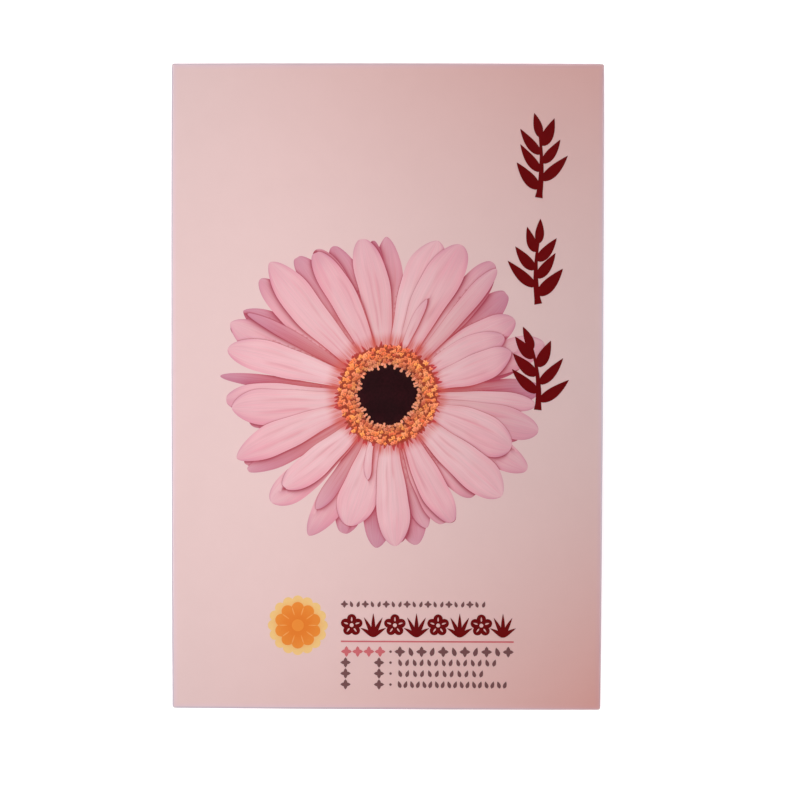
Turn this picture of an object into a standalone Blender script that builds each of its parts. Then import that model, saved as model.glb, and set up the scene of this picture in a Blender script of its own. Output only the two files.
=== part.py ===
"""A shut cardboard gift box of flaky sun cakes: a deep lift-off lid over its tray.

Metres, +Z up. The box lies flat with its printed face up, on the point below its
middle. +Y is the way the printed face reads upwards, and +X is its right.
"""

import math

import bmesh
import bpy

# Driving dimensions
LID_WIDTH = 0.220
LID_LENGTH = 0.330
BOX_HEIGHT = 0.050
TRAY_REVEAL = 0.004  # the strip of tray that shows below the lid's rim
BOARD = 0.0006  # one ply of the folded board
SLIP = 0.0004  # the play between lid and tray
FOLD_RADIUS = 0.0010  # outside radius of a creased edge
RIM_RADIUS = 0.0004  # the hem's edge, where the board turns back inside the lid
SEAM_WIDTH = 0.0004  # the open joint where two walls meet at a corner
FOLD_STEPS = 4
RIM_STEPS = 2

# Worked out from them
LID_WALL = 2 * BOARD  # each wall is folded double
LID_DEPTH = BOX_HEIGHT - TRAY_REVEAL
TRAY_WIDTH = LID_WIDTH - 2 * (LID_WALL + SLIP)
TRAY_LENGTH = LID_LENGTH - 2 * (LID_WALL + SLIP)
TRAY_HEIGHT = BOX_HEIGHT - LID_WALL - SLIP
SEAM_INSET = FOLD_RADIUS + SEAM_WIDTH  # from the side wall's face to the seam

# Angles that tell the edges of the bare boxes and of the hem from the facets of a fold
SQUARE_EDGE = math.radians(60)

# Printed board, as linear colours
LID_PINK = (0.76, 0.53, 0.51)
TRAY_PINK = (0.68, 0.44, 0.43)
BOARD_ROUGHNESS = 0.5


def clear_scene():
    for obj in list(bpy.data.objects):
        bpy.data.objects.remove(obj, do_unlink=True)


def new_collection(name):
    collection = bpy.data.collections.new(name)
    bpy.context.scene.collection.children.link(collection)
    return collection


def printed_board(name, colour):
    """Paperboard with a coat of print and a satin varnish."""
    material = bpy.data.materials.new(name)
    material.use_nodes = True
    shader = material.node_tree.nodes["Principled BSDF"]
    shader.inputs["Base Color"].default_value = (*colour, 1.0)
    shader.inputs["Roughness"].default_value = BOARD_ROUGHNESS
    shader.inputs["Metallic"].default_value = 0.0
    return material


def block(name, size, low_z, collection, open_below=False):
    """A plain box of this size, standing on the height low_z, with or without its lower face."""
    width, length, height = size
    shape = bmesh.new()
    bmesh.ops.create_cube(shape, size=1.0)
    bmesh.ops.scale(shape, vec=(width, length, height), verts=shape.verts)
    if open_below:
        lower = [face for face in shape.faces if face.normal.z < -0.5]
        bmesh.ops.delete(shape, geom=lower, context="FACES_ONLY")
    mesh = bpy.data.meshes.new(name)
    shape.to_mesh(mesh)
    shape.free()
    obj = bpy.data.objects.new(name, mesh)
    obj.location = (0.0, 0.0, low_z + height / 2)
    collection.objects.link(obj)
    return obj


def round_edges(obj, name, radius, steps):
    """Rounds the square edges, and leaves those that are rounded already."""
    bevel = obj.modifiers.new(name, "BEVEL")
    bevel.width = radius
    bevel.segments = steps
    bevel.limit_method = "ANGLE"
    bevel.angle_limit = SQUARE_EDGE


def corner_seams(name, width, length, height, low_z, collection):
    """The cutter for the upright joints near the corners of the two end walls."""
    shape = bmesh.new()
    for side in (-1, 1):
        for end in (-1, 1):
            made = bmesh.ops.create_cube(shape, size=1.0)["verts"]
            # Twice the board's thickness across, centred on the wall's face, cuts one ply deep
            bmesh.ops.scale(shape, vec=(SEAM_WIDTH, 2 * BOARD, height), verts=made)
            place = (side * (width / 2 - SEAM_INSET), end * length / 2, low_z + height / 2)
            bmesh.ops.translate(shape, vec=place, verts=made)
    mesh = bpy.data.meshes.new(name)
    shape.to_mesh(mesh)
    shape.free()
    cutter = bpy.data.objects.new(name, mesh)
    cutter.hide_render = True
    cutter.display_type = "WIRE"
    collection.objects.link(cutter)
    return cutter


def cut(obj, cutter):
    boolean = obj.modifiers.new("corner seams", "BOOLEAN")
    boolean.operation = "DIFFERENCE"
    boolean.solver = "EXACT"
    boolean.object = cutter


def make_lid(parts, cutters):
    """The deep lid: one sheet folded down on four sides, each wall hemmed to double board."""
    size = (LID_WIDTH, LID_LENGTH, LID_DEPTH)
    lid = block("lid", size, TRAY_REVEAL, parts, open_below=True)
    round_edges(lid, "creases", FOLD_RADIUS, FOLD_STEPS)
    walls = lid.modifiers.new("double board", "SOLIDIFY")
    walls.thickness = LID_WALL
    walls.offset = -1.0
    walls.use_even_offset = True
    round_edges(lid, "hem", RIM_RADIUS, RIM_STEPS)
    # The joints run up from below the hem and end where the top crease begins
    low_z = TRAY_REVEAL - FOLD_RADIUS
    height = LID_DEPTH
    seams = corner_seams("lid_seams", LID_WIDTH, LID_LENGTH, height, low_z, cutters)
    cut(lid, seams)
    lid.data.materials.append(printed_board("printed lid", LID_PINK))
    return lid


def make_tray(parts, cutters):
    """The tray under the lid, shut and full, so it is solid."""
    size = (TRAY_WIDTH, TRAY_LENGTH, TRAY_HEIGHT)
    tray = block("tray", size, 0.0, parts)
    round_edges(tray, "creases", FOLD_RADIUS, FOLD_STEPS)
    # The joints run from the bottom crease up through the tray's hem
    seams = corner_seams(
        "tray_seams", TRAY_WIDTH, TRAY_LENGTH, TRAY_HEIGHT, FOLD_RADIUS, cutters
    )
    cut(tray, seams)
    tray.data.materials.append(printed_board("printed tray", TRAY_PINK))
    return tray


def main():
    clear_scene()
    parts = new_collection("sun cake gift box")
    cutters = new_collection("cutters")
    make_lid(parts, cutters)
    make_tray(parts, cutters)


main()
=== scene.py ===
"""Dresses a shut gift box for flaky cakes: printed lid and tray, a printed daisy, ornaments and a stage.

Metres, +Z up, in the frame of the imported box. The print reads upwards along +Y, and its right is +X.
"""

import math
import random

import bmesh
import bpy
from mathutils import Matrix, Vector
from mathutils.geometry import delaunay_2d_cdt


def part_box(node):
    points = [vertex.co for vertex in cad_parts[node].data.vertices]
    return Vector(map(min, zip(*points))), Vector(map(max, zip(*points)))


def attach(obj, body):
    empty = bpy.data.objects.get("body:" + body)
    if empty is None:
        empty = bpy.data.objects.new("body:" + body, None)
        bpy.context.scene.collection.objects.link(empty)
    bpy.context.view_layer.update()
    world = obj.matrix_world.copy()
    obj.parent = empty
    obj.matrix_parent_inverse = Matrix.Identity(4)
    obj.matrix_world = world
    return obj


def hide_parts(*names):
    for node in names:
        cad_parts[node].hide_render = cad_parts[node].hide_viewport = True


bl_info = {
    "name": "Pastry gift box",
    "version": (1, 0, 0),
    "blender": (4, 5, 0),
    "location": "3D View > Sidebar > Gift box",
    "description": "Dresses the gift box with printed board, a printed daisy and ornaments",
    "category": "Object",
}

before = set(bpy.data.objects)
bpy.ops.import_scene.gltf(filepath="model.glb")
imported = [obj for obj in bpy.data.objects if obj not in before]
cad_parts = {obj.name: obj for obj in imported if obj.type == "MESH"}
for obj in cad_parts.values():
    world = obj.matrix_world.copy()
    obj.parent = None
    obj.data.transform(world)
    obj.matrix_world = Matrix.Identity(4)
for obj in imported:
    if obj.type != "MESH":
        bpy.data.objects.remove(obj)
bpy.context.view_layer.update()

# The solids that the pieces are fitted to
LID_LOW, LID_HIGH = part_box("lid")
TRAY_LOW, TRAY_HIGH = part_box("tray")
FACE_WIDTH = LID_HIGH.x - LID_LOW.x
FACE_LENGTH = LID_HIGH.y - LID_LOW.y
BODY = "root"
MM = 0.001


def tint(red, green, blue):
    """A display colour, 0 to 255 a channel, as a linear colour."""
    return tuple(linear(channel / 255) for channel in (red, green, blue))


def linear(share):
    if share <= 0.04045:
        return share / 12.92
    return ((share + 0.055) / 1.055) ** 2.4


def smooth(share):
    """Rises from 0 to 1 with a soft start and end."""
    share = min(max(share, 0.0), 1.0)
    return share * share * (3 - 2 * share)


# Properties that a user would change


def length_property(name, description, default):
    return bpy.props.FloatProperty(
        name=name, description=description, default=default, unit="LENGTH", precision=5
    )


def count_property(name, description, default):
    return bpy.props.IntProperty(name=name, description=description, default=default, min=1)


def colour_property(name, description, default):
    return bpy.props.FloatVectorProperty(
        name=name, description=description, default=default, size=3, subtype="COLOR", min=0, max=1
    )


def number_property(name, description, default):
    return bpy.props.FloatProperty(name=name, description=description, default=default, min=0)


class GiftBoxBoard(bpy.types.PropertyGroup):
    """The folded board of the lid and the tray."""

    fold_radius: length_property("Fold radius", "Outside radius of a creased edge", 1.3 * MM)
    board: length_property("Board", "Thickness of the doubled walls", 1.2 * MM)
    crown: length_property("Crown", "How far the lid's face rises in its middle", 0.35 * MM)
    bow: length_property("Bow", "How far a long wall's foot bows out in its middle", 0.7 * MM)
    seam_width: length_property("Seam width", "The open joint beside each corner", 0.4 * MM)
    pale_pink: colour_property("Pale pink", "The face's print at its left", (0.735, 0.522, 0.512))
    deep_pink: colour_property("Deep pink", "The print at the right corners", (0.70, 0.348, 0.316))
    wall_pink: colour_property("Wall pink", "The print on the lid's walls", (0.68, 0.43, 0.43))
    tray_pink: colour_property("Tray pink", "The print on the tray", (0.60, 0.34, 0.345))
    core: colour_property("Core", "The bare board where a fold is worn", (0.78, 0.72, 0.66))


class GiftBoxDaisy(bpy.types.PropertyGroup):
    """The printed daisy."""

    seed: count_property("Seed", "Picks how uneven the petals are", 15)
    centre_x: length_property("Centre across", "Place of the daisy's eye along X", 0.4 * MM)
    centre_y: length_property("Centre up", "Place of the daisy's eye along Y", -3.6 * MM)
    eye_radius: length_property("Eye radius", "Radius of the dark eye", 14.6 * MM)
    ring_radius: length_property("Ring radius", "Radius of the golden ring", 26.4 * MM)
    reach: length_property("Reach", "How far a petal reaches from the eye's middle", 81.0 * MM)
    half_width: length_property("Half width", "Half of a petal's greatest width", 8.3 * MM)
    back_petals: count_property("Back", "Petals in the back layer", 21)
    middle_petals: count_property("Middle", "Petals in the middle layer", 17)
    front_petals: count_property("Front", "Petals in the front layer", 15)
    rolled_petals: count_property("Rolled", "Dark petals seen on edge", 8)
    short_petals: count_property("Short", "Narrow petals round the ring", 4)
    pale: colour_property("Pale", "A petal's middle", tint(231, 189, 193))
    rose: colour_property("Rose", "A petal's turned side and streaks", tint(224, 142, 158))
    crimson: colour_property("Crimson", "The gaps between the petals' bases", tint(200, 58, 64))
    mauve: colour_property("Mauve", "The petals' tips", tint(184, 108, 134))
    plum: colour_property("Plum", "The shade between the petals' outer halves", tint(180, 60, 82))
    coral: colour_property("Coral", "Where the petals meet the ring", tint(205, 84, 70))
    gold: colour_property("Gold", "The florets' light lobes", tint(240, 154, 78))
    orange: colour_property("Orange", "The florets' middle tone", tint(226, 106, 58))
    cream: colour_property("Cream", "The stamens' tips at the eye", tint(232, 148, 116))
    ember: colour_property("Ember", "The dark gaps of the ring", tint(146, 44, 28))
    eye: colour_property("Eye", "The dark eye", (0.0172, 0.0014, 0.0029))


class GiftBoxOrnaments(bpy.types.PropertyGroup):
    """The ornaments that stand beside and below the daisy."""

    spray_x: length_property("Spray place", "Where the leaf sprays stand along X", 77.0 * MM)
    spray_top: length_property("Spray top", "Upper end of the topmost spray along Y", 140.0 * MM)
    spray_height: length_property("Spray height", "Height of one spray", 43.0 * MM)
    spray_gap: length_property("Spray gap", "Free space between two sprays", 11.0 * MM)
    blossom_x: length_property("Blossom across", "Place of the small blossom along X", -45.4 * MM)
    blossom_y: length_property("Blossom up", "Place of the small blossom along Y", -121.8 * MM)
    blossom_radius: length_property("Blossom radius", "Radius of the small blossom", 15.4 * MM)
    row_left: length_property("Row left", "Where the lower rows begin along X", -23.3 * MM)
    row_right: length_property("Row right", "Where the lower rows end along X", 65.3 * MM)
    rosettes: count_property("Rosettes", "Rosettes and fans in the row", 8)
    rosette_y: length_property("Rosettes up", "Place of the row of rosettes along Y", -121.6 * MM)
    rosette_height: length_property("Rosette height", "Height of the row of rosettes", 12.4 * MM)
    rule_y: length_property("Rule up", "Place of the thin rule along Y", -130.0 * MM)
    dark_red: colour_property("Dark red", "Ink of the sprays and rosettes", (0.135, 0.0, 0.001))
    light_red: colour_property("Light red", "Ink of the rule", tint(200, 98, 104))
    grey: colour_property("Maroon grey", "Ink of the small marks", tint(112, 70, 71))
    ochre: colour_property("Ochre", "Middle of the small blossom", tint(222, 116, 28))
    amber: colour_property("Amber", "Inner petals of the small blossom", tint(228, 134, 46))
    straw: colour_property("Straw", "Outer petals of the small blossom", tint(232, 190, 124))


class GiftBoxStage(bpy.types.PropertyGroup):
    """The camera, the light and the floor."""

    lens: number_property("Lens", "Focal length in millimetres", 85.0)
    camera_place: bpy.props.FloatVectorProperty(
        name="Camera place", description="Where the camera hangs", default=(0.01755, 0.02431, 1.01408),
        size=3, unit="LENGTH", precision=5,
    )
    camera_turn: bpy.props.FloatVectorProperty(
        name="Camera turn", description="How the camera is turned from looking straight down",
        default=(math.radians(-1.8035), math.radians(0.6489), math.radians(0.1486)),
        size=3, subtype="EULER",
    )
    box_power: number_property("Soft boxes", "Power of each of the four", 4.3)
    key_power: number_property("Key", "Power of each lamp at the left", 31.0)
    sky: number_property("Sky", "Strength of the dim surroundings", 0.05)
    floor_glow: number_property("Floor glow", "Light of the floor's own", 0.5)


# Shader maths


def math_node(operation, flipped=False):
    """A method that joins its value with another in a Math node."""

    def join(value, other):
        first, second = (other, value) if flipped else (value, other)
        return value.paint.node("ShaderNodeMath", {"operation": operation}, {0: first, 1: second})

    return join


class Value:
    """An output socket, on which sums and products add Math nodes."""

    def __init__(self, paint, socket):
        self.paint = paint
        self.socket = socket

    __add__ = math_node("ADD")
    __radd__ = math_node("ADD", flipped=True)
    __sub__ = math_node("SUBTRACT")
    __rsub__ = math_node("SUBTRACT", flipped=True)
    __mul__ = math_node("MULTIPLY")
    __rmul__ = math_node("MULTIPLY", flipped=True)
    __truediv__ = math_node("DIVIDE")
    __rtruediv__ = math_node("DIVIDE", flipped=True)
    __pow__ = math_node("POWER")
    __rpow__ = math_node("POWER", flipped=True)
    most = math_node("MAXIMUM")
    least = math_node("MINIMUM")

    def __neg__(self):
        return self * -1.0

    def __abs__(self):
        return self.paint.node("ShaderNodeMath", {"operation": "ABSOLUTE"}, {0: self})

    def decay(self):
        """e to the power of minus this value."""
        return self.paint.node("ShaderNodeMath", {"operation": "EXPONENT"}, {0: -self})

    def between(self, low, high):
        """0 below low and 1 above high, with a soft step between them."""
        settings = {"interpolation_type": "SMOOTHSTEP"}
        sockets = {"Value": self, "From Min": low, "From Max": high}
        return self.paint.node("ShaderNodeMapRange", settings, sockets)


class Paint:
    """The nodes of one material or world, which end in its shader."""

    def __init__(self, owner, shader="Principled BSDF"):
        owner.use_nodes = True
        self.owner = owner
        self.tree = owner.node_tree
        self.shader = self.tree.nodes[shader]

    def node(self, kind, settings=None, sockets=None, output=0):
        """Adds a node: its settings first, then its sockets' values or links. Gives one output."""
        made = self.tree.nodes.new(kind)
        for name, value in (settings or {}).items():
            setattr(made, name, value)
        for name, value in (sockets or {}).items():
            self.fill(made.inputs[name], value)
        return Value(self, made.outputs[output])

    def fill(self, socket, value):
        if isinstance(value, Value):
            self.tree.links.new(value.socket, socket)
        elif socket.type == "RGBA":
            socket.default_value = (*value, 1.0)
        else:
            socket.default_value = value

    def set(self, **sockets):
        """Fills the shader's sockets, named with _ for a space."""
        for name, value in sockets.items():
            self.fill(self.shader.inputs[name.replace("_", " ")], value)

    def mix(self, factor, first, second, blend="MIX"):
        """Two colours mixed. The numbers are the places of the node's sockets for colours."""
        sockets = {0: factor, 6: first, 7: second}
        return self.node("ShaderNodeMix", {"data_type": "RGBA", "blend_type": blend}, sockets, output=2)

    def place(self):
        """Where a point lies on the part, in metres."""
        return self.node("ShaderNodeTexCoord", output="Object")

    def attribute(self, name):
        return self.node("ShaderNodeAttribute", {"attribute_name": name}, output="Vector")

    def parts(self, vector):
        """The three numbers of a vector."""
        made = self.node("ShaderNodeSeparateXYZ", sockets={0: vector})
        return [Value(self, output) for output in made.socket.node.outputs]

    def joined(self, x, y, z):
        return self.node("ShaderNodeCombineXYZ", sockets={0: x, 1: y, 2: z})

    def noise(self, vector, scale, detail=2.0, roughness=0.5):
        """A soft random pattern round 0.5."""
        sockets = {"Vector": vector, "Scale": scale, "Detail": detail, "Roughness": roughness}
        return self.node("ShaderNodeTexNoise", sockets=sockets)

    def cells(self, vector, scale):
        """The distance from the nearest of a set of random points."""
        return self.node("ShaderNodeTexVoronoi", sockets={"Vector": vector, "Scale": scale})

    def scaled(self, colour, factor):
        """A colour times a number."""
        grey = self.joined(factor, factor, factor)
        return self.node("ShaderNodeVectorMath", {"operation": "MULTIPLY"}, {0: colour, 1: grey})


def new_paint(name):
    return Paint(bpy.data.materials.new(name))


# What every print has in common: fibres under the ink and a satin varnish over it
FIBRE_SCALE = 2600.0
MOTTLE_SCALE = 95.0
BROAD_SCALE = 14.0
FIBRE_TONE = 0.035
MOTTLE_TONE = 0.03
SATIN = 0.40
SATIN_SPREAD = 0.10
GLOSS = 0.4
DARK_GLOSS = 0.15
VARNISH = 0.12
VARNISH_ROUGHNESS = 0.28
FIBRE_BUMP = 0.012 * MM
BROAD_BUMP = 0.5 * MM
BUMP_STRENGTH = 0.5


def varnish(paint, colour, coat=VARNISH, gloss=GLOSS):
    """Finishes a print: faint fibre and mottle in its tone, satin gloss and the board's relief."""
    place = paint.place()
    fibre = paint.noise(place, FIBRE_SCALE, detail=3.0, roughness=0.6)
    mottle = paint.noise(place, MOTTLE_SCALE, detail=4.0)
    broad = paint.noise(place, BROAD_SCALE, detail=1.0)
    tone = 1.0 + (fibre - 0.5) * FIBRE_TONE + (mottle - 0.5) * MOTTLE_TONE
    relief = fibre * FIBRE_BUMP + broad * BROAD_BUMP
    bump = {"Strength": BUMP_STRENGTH, "Distance": 1.0, "Height": relief}
    paint.set(
        Base_Color=paint.scaled(colour, tone),
        Roughness=SATIN + (mottle - 0.5) * SATIN_SPREAD,
        Normal=paint.node("ShaderNodeBump", sockets=bump),
    )
    paint.set(Specular_IOR_Level=gloss, Coat_Weight=coat, Coat_Roughness=VARNISH_ROUGHNESS)
    return paint.owner


# The lid's print deepens towards the right, most of all at both ends and in the lower corner
END_DEPTH = 0.7
CORNER_DEPTH = 0.36
CORNER_POWER = 5.0
WALL_DROP = (0.4 * MM, 1.2 * MM)  # how far below the face the walls' print begins

# Painted shade on the folds, which turns to painted light on the folds at the right
CREASE_SHADE_TONE = (0.69, 0.80, 0.86)  # painted shade: what the print's colour is multiplied by on a fold at the left
CREASE_LIGHT_TONE = (0.86, 1.02, 1.10)  # painted light: the same at the right, where the folds are paler
CREASE_SHADE_TO_LIGHT = (0.4, 0.95)  # where across the face the one tone changes to the other
CREASE_BAND = (0.5 * MM, 1.3 * MM)  # how far in from the walls a fold's tone fades
CREASE_DROP = (0.8 * MM, 1.6 * MM)  # how far below the face it fades
FAINT_CREASE = (0.97, 0.99)  # how far up the face the fold becomes fainter
FAINTER = 0.4
COOL_REFLECTION_TONE = (0.985, 1.0, 1.09)  # painted cool reflection: the print is a little cooler beside its folds
COOL_REFLECTION_BAND = (0.8 * MM, 3.5 * MM)
FACE_BOW = 0.6  # how much of the walls' bow there is at the level of the face

# The wear of the folds
WEAR_BAND = 1.1 * MM
WEAR_SCALE = 420.0
WEAR_FLECKS = (0.62, 0.72)  # the part of the random pattern that is rubbed bare
WEAR_STRENGTH = 0.8
WORN_CORNER = (0.5 * MM, 5 * MM)  # how far from a corner its extra wear fades
CORNER_WEAR = 0.16

# The scuffs on the tray's underside
SCUFF_SCALE = (30.0, 260.0)
SCUFFS = (0.55, 0.8)
SCUFF_STRENGTH = 0.35
UNDERSIDE = (0.05 * MM, 0.5 * MM)


def lid_print(board):
    """The lid's print: pale pink at the left, deeper at the right corners, with painted shade on the
    folds, painted light on those at the right and a painted cool reflection beside them.
    """
    paint = new_paint("printed face")
    place = paint.place()
    x, y, z = paint.parts(place)
    across = x / FACE_WIDTH + 0.5
    up = y / (FACE_LENGTH / 2)
    depth = across * up * up * END_DEPTH + across**CORNER_POWER * (-up).most(0.0) * CORNER_DEPTH
    face = paint.mix(depth, board.pale_pink, board.deep_pink)
    below = LID_HIGH.z - z
    side_gap = FACE_WIDTH / 2 + (1.0 - up * up) * (board.bow * FACE_BOW) - abs(x)
    end_gap = FACE_LENGTH / 2 - abs(y)
    rim_gap = side_gap.least(end_gap)
    colour = paint.mix(below.between(*WALL_DROP), face, board.wall_pink)
    # A painted cool reflection beside the folds
    colour = paint.mix(1.0 - rim_gap.between(*COOL_REFLECTION_BAND), colour, COOL_REFLECTION_TONE, "MULTIPLY")
    # Painted shade on the folds, and painted light on those at the right
    crease_shade_mask = (1.0 - rim_gap.between(*CREASE_BAND)) * (1.0 - below.between(*CREASE_DROP))
    crease_shade_mask = crease_shade_mask * (1.0 - up.between(*FAINT_CREASE) * FAINTER)
    crease_light_and_shade = paint.mix(across.between(*CREASE_SHADE_TO_LIGHT), CREASE_SHADE_TONE, CREASE_LIGHT_TONE)
    colour = paint.mix(crease_shade_mask, colour, crease_light_and_shade, "MULTIPLY")
    colour = paint.mix(worn_folds(paint, place, side_gap, end_gap, below), colour, board.core)
    return varnish(paint, colour)


def worn_folds(paint, place, side_gap, end_gap, below):
    """Where two faces meet, the ink is rubbed through in small flecks, most of all at the corners."""
    gaps = [side_gap.most(below), end_gap.most(below), side_gap.most(end_gap)]
    near = gaps[0].least(gaps[1]).least(gaps[2])
    corner = gaps[0].most(gaps[1]).most(gaps[2])
    at_fold = 1.0 - near.between(0.0, WEAR_BAND)
    at_corner = 1.0 - corner.between(*WORN_CORNER)
    flecks = paint.noise(place, WEAR_SCALE, detail=4.0, roughness=0.65)
    return at_fold * (flecks + at_corner * CORNER_WEAR).between(*WEAR_FLECKS) * WEAR_STRENGTH


def tray_print(board):
    """The tray's plain deeper print, scuffed underneath."""
    paint = new_paint("printed tray")
    place = paint.place()
    x, y, z = paint.parts(place)
    side_gap = (TRAY_HIGH.x - abs(x)).most(0.0)
    end_gap = (TRAY_HIGH.y - abs(y)).most(0.0)
    wear = worn_folds(paint, place, side_gap, end_gap, z)
    stretched = paint.joined(x * SCUFF_SCALE[0], y * SCUFF_SCALE[1], z)
    scuffs = paint.noise(stretched, 1.0, detail=5.0, roughness=0.7)
    underside = 1.0 - z.between(*UNDERSIDE)
    colour = paint.mix(underside * scuffs.between(*SCUFFS) * SCUFF_STRENGTH, board.tray_pink, board.core)
    return varnish(paint, paint.mix(wear, colour, board.core))


# The flat inks
INK_SCALE = 230.0
INK_DEPTH = 0.08  # how much denser and thinner an ink gets
DARK_DEPTH = 0.2
INK_VARNISH = 0.3  # as a share of the ink's gloss


def plain_ink(name, colour, depth=INK_DEPTH, gloss=GLOSS):
    """One flat ink, denser here and thinner there by up to its depth."""
    paint = new_paint(name)
    density = paint.noise(paint.place(), INK_SCALE, detail=3.0)
    tone = 1.0 + (density - 0.5) * depth * 2
    return varnish(paint, paint.scaled(colour, tone), INK_VARNISH * gloss, gloss)


# The box
SQUARE_EDGE = math.radians(60)  # tells the edges of a bare box from the facets of a fold
SHARP_EDGE = math.radians(35)  # an edge that turns further stays sharp in the shading
LID_CUTS = 31
TRAY_CUTS = 15
FOLD_STEPS = 5
HEM_SHARE = 0.3  # the radius of the hem's edge, as a share of the doubled board
HEM_STEPS = 2
END_BOW = 0.6  # how much the short walls bow out, as a share of the long ones
CROWN_WAVE = 0.2  # how much of the crown is a wave
FACE_SLACK = 0.01 * MM  # corners of the grid this close to the top belong to the face


def placed(name, content):
    """A new object of the scene, at the origin."""
    thing = bpy.data.objects.new(name, content)
    bpy.context.scene.collection.objects.link(thing)
    return thing


def new_piece(name, mesh, material):
    """Adds a piece that rides on the box, with its material."""
    mesh.name = name
    mesh.materials.append(material)
    piece = placed(name, mesh)
    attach(piece, BODY)
    return piece


def to_mesh(name, shape):
    mesh = bpy.data.meshes.new(name)
    shape.to_mesh(mesh)
    shape.free()
    return mesh


def shaded(mesh):
    """The mesh, smooth but for its sharp edges."""
    mesh.shade_smooth()
    mesh.set_sharp_from_angle(angle=SHARP_EDGE)
    return mesh


def finished(thing, *helpers):
    """A thing's mesh with its modifiers applied. The thing and its helpers are removed."""
    ready = thing.evaluated_get(bpy.context.evaluated_depsgraph_get())
    mesh = bpy.data.meshes.new_from_object(ready)
    for used in (thing, *helpers):
        bpy.data.objects.remove(used, do_unlink=True)
    return mesh


def even_shading(piece):
    """Keeps the flat faces' shading flat up to their folds."""
    normals = piece.modifiers.new("even shading", "WEIGHTED_NORMAL")
    normals.keep_sharp = True


def face_height(x, y):
    """The height of the lid's face: a soft crown that ends at the folds, with a faint wave in it."""
    crown = bpy.context.scene.gift_box_board.crown
    across = 2 * x / FACE_WIDTH
    along = 2 * y / FACE_LENGTH
    dome = max(0.0, 1 - across * across) * max(0.0, 1 - along * along)
    wave = math.sin(2.1 * math.pi * along + 0.6) * math.cos(1.4 * math.pi * across)
    return LID_HIGH.z + crown * dome * (1 - CROWN_WAVE + CROWN_WAVE * wave)


def folded_box(low, high, cuts, fold_radius, open_below=False):
    """A box of board in a fine grid, with creased edges, with or without its lower face."""
    shape = bmesh.new()
    bmesh.ops.create_cube(shape, size=1.0)
    bmesh.ops.scale(shape, vec=high - low, verts=shape.verts)
    bmesh.ops.translate(shape, vec=(low + high) / 2, verts=shape.verts)
    if open_below:
        lower = [face for face in shape.faces if face.calc_center_median().z < low.z + fold_radius]
        bmesh.ops.delete(shape, geom=lower, context="FACES_ONLY")
    bmesh.ops.subdivide_edges(shape, edges=shape.edges[:], cuts=cuts, use_grid_fill=True)
    creased = [edge for edge in shape.edges if edge.calc_face_angle(0.0) > SQUARE_EDGE]
    bmesh.ops.bevel(
        shape,
        geom=creased,
        offset=fold_radius,
        affect="EDGES",
        segments=FOLD_STEPS,
        profile=0.5,
        material=-1,
    )
    return shape


def bow_walls(shape, low, high, bow):
    """Lets the walls bow out a little between the corners, most at their lower edge."""
    for vert in shape.verts:
        share = FACE_BOW + (1 - FACE_BOW) * smooth((high.z - vert.co.z) / (high.z - low.z))
        across = 1 - (2 * vert.co.x / (high.x - low.x)) ** 2
        along = 1 - (2 * vert.co.y / (high.y - low.y)) ** 2
        vert.co.x *= 1 + 2 * bow * share * max(0.0, along) / (high.x - low.x)
        vert.co.y *= 1 + 2 * END_BOW * bow * share * max(0.0, across) / (high.y - low.y)


def lid_sheet(board):
    """The lid's one sheet, folded down on four sides."""
    shape = folded_box(LID_LOW, LID_HIGH, LID_CUTS, board.fold_radius, open_below=True)
    for vert in shape.verts:
        if vert.co.z > LID_HIGH.z - FACE_SLACK:
            vert.co.z = face_height(vert.co.x, vert.co.y)
    bow_walls(shape, LID_LOW, LID_HIGH, board.bow)
    return to_mesh("lid sheet", shape)


def hemmed(sheet, board):
    """The sheet with its walls turned back inside, which makes them double board."""
    shell = placed("shell", sheet)
    walls = shell.modifiers.new("double board", "SOLIDIFY")
    walls.thickness = board.board
    walls.offset = -1.0
    walls.use_even_offset = True
    hem = shell.modifiers.new("hem", "BEVEL")
    hem.width = board.board * HEM_SHARE
    hem.segments = HEM_STEPS
    hem.limit_method = "ANGLE"
    hem.angle_limit = SQUARE_EDGE
    return finished(shell)


def seam_bars(low, high, board):
    """Thin upright bars at the open joints of the two end walls, which reach halfway through a wall."""
    inset = board.fold_radius + board.seam_width
    shape = bmesh.new()
    for side in (low.x + inset, high.x - inset):
        for end in (low.y, high.y):
            made = bmesh.ops.create_cube(shape, size=1.0)["verts"]
            bmesh.ops.scale(shape, vec=(board.seam_width, board.board, high.z - low.z), verts=made)
            bmesh.ops.translate(shape, vec=(side, end, (low.z + high.z) / 2), verts=made)
    return to_mesh("seam bars", shape)


def with_seams(mesh, low, high, rise, board):
    """The mesh after its seams are cut, by bars that stand this much higher than the box."""
    lift = Vector((0, 0, rise))
    body = placed("uncut", mesh)
    bars = placed("seam bars", seam_bars(low + lift, high + lift, board))
    cut = body.modifiers.new("seams", "BOOLEAN")
    cut.operation = "DIFFERENCE"
    cut.solver = "EXACT"
    cut.object = bars
    return shaded(finished(body, bars))


class GIFTBOX_OT_lid(bpy.types.Operator):
    """Make the printed lid"""

    bl_idname = "gift_box.lid"
    bl_label = "Lid"

    def execute(self, context):
        board = context.scene.gift_box_board
        solid = hemmed(shaded(lid_sheet(board)), board)
        mesh = with_seams(solid, LID_LOW, LID_HIGH, -board.fold_radius, board)
        lid = new_piece("lid_board", mesh, lid_print(board))
        even_shading(lid)
        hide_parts("lid")
        return {"FINISHED"}


class GIFTBOX_OT_tray(bpy.types.Operator):
    """Make the tray, which shows below the lid's rim"""

    bl_idname = "gift_box.tray"
    bl_label = "Tray"

    def execute(self, context):
        board = context.scene.gift_box_board
        block = to_mesh("tray", folded_box(TRAY_LOW, TRAY_HIGH, TRAY_CUTS, board.fold_radius))
        mesh = with_seams(shaded(block), TRAY_LOW, TRAY_HIGH, board.fold_radius, board)
        tray = new_piece("tray_board", mesh, tray_print(board))
        even_shading(tray)
        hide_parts("tray")
        return {"FINISHED"}


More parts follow.
